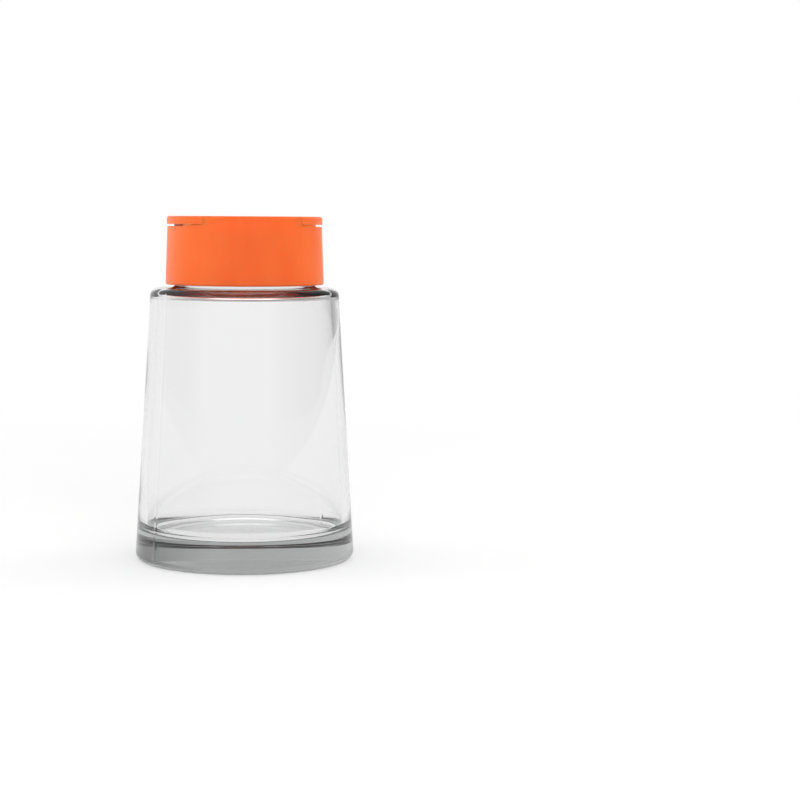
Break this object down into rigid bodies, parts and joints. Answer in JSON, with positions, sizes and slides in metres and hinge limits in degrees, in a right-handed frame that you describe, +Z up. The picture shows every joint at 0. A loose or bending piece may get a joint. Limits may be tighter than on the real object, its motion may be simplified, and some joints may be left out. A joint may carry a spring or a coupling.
{
  "type": "spice jar with flap cap",
  "caption": "Tapered clear glass spice jar with a heavy base and a screw cap whose hinged flaps open on shaker holes and a spoon opening.",
  "frame": {"origin": "centre of the circle on which the jar stands, at the height of the surface under it", "axes": "+Z up along the jar's axis; Y along the cap's fixed centre band, with the shaker flap at -X and the spoon flap at +X"},
  "size_m": [0.0632, 0.0632, 0.0992],
  "materials": {
    "clear_glass": "clear, fire-polished, slightly uneven inside, stippled under the base",
    "orange_plastic": "orange polypropylene, semi-gloss, faint moulding flow",
    "foam_liner": "white closed-cell foam, matte"
  },
  "bodies": {
    "jar": {"glass_jar": "clear_glass"},
    "liner": {"seal_ring": "foam_liner"},
    "cap": {"cap_body": "orange_plastic", "shaker_hinge": "orange_plastic", "spoon_hinge": "orange_plastic"},
    "shaker_flap": {"shaker_flap": "orange_plastic"},
    "spoon_flap": {"spoon_flap": "orange_plastic"}
  },
  "joints": [
    {"name": "cap_lift", "type": "slide", "parent": "jar", "child": "liner", "axis": [0, 0, 1], "range_m": [0, 0.00635]},
    {"name": "cap_turn", "type": "hinge", "parent": "liner", "child": "cap", "pos_m": [0, 0, 0.0943], "axis": [0, 0, 1], "range_deg": [0, 540]},
    {"name": "shaker_flap_hinge", "type": "hinge", "parent": "cap", "child": "shaker_flap", "pos_m": [-0.0035, 0, 0.0988], "axis": [0, 1, 0], "range_deg": [0, 95], "deforming": ["shaker_hinge"]},
    {"name": "spoon_flap_hinge", "type": "hinge", "parent": "cap", "child": "spoon_flap", "pos_m": [0.0035, 0, 0.0988], "axis": [0, -1, 0], "range_deg": [0, 95], "deforming": ["spoon_hinge"]}
  ],
  "couplings": [
    {"joint": "cap_lift", "follows": "cap_turn", "m_per_rad": 0.00067323}
  ]
}
